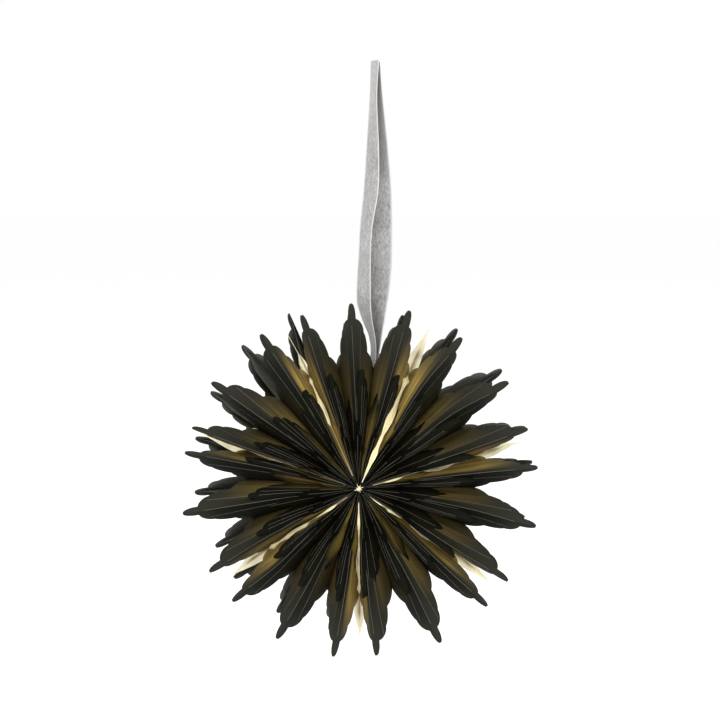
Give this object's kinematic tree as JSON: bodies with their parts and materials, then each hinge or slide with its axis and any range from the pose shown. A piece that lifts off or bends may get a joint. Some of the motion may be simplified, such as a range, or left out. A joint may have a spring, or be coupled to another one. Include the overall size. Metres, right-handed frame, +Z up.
{
  "type": "hanging paper star",
  "caption": "Hanging star of folded dark paper bags with scalloped leaf tips, smaller pleated rosettes on both faces, gold paper spears and a silver ribbon loop.",
  "frame": {"origin": "top of the ribbon loop, in the middle of the star's depth", "axes": "+Z up along the ribbon, -Y out of the star's front face, +X to the right seen from the front"},
  "size_m": [0.2971, 0.1228, 0.5094],
  "materials": {
    "dark_paper": "smooth uncoated paper with a faint pearl sheen",
    "rosette_paper": "smooth dark paper",
    "gold_paper": "satin gold paper",
    "core": "rolled gold paper",
    "ribbon": "crushed silver velvet ribbon"
  },
  "bodies": {
    "root": {"bag_01": "dark_paper", "bag_02": "dark_paper", "bag_03": "dark_paper", "bag_04": "dark_paper", "bag_05": "dark_paper", "bag_06": "dark_paper", "bag_07": "dark_paper", "bag_08": "dark_paper", "bag_09": "dark_paper", "bag_10": "dark_paper", "bag_11": "dark_paper", "bag_12": "dark_paper", "bag_13": "dark_paper", "bag_14": "dark_paper", "bag_15": "dark_paper", "bag_16": "dark_paper", "bag_17": "dark_paper", "bag_18": "dark_paper", "bag_19": "dark_paper", "bag_20": "dark_paper", "bag_21": "dark_paper", "front_middle_rosette": "rosette_paper", "front_small_rosette": "rosette_paper", "rear_middle_rosette": "rosette_paper", "rear_small_rosette": "rosette_paper", "gold_spear_1": "gold_paper", "gold_spear_2": "gold_paper", "gold_spear_3": "gold_paper", "gold_spear_4": "gold_paper", "gold_spear_5": "gold_paper", "gold_spear_6": "gold_paper", "gold_spear_7": "gold_paper", "core": "core", "ribbon_loop": "ribbon"}
  },
  "joints": []
}
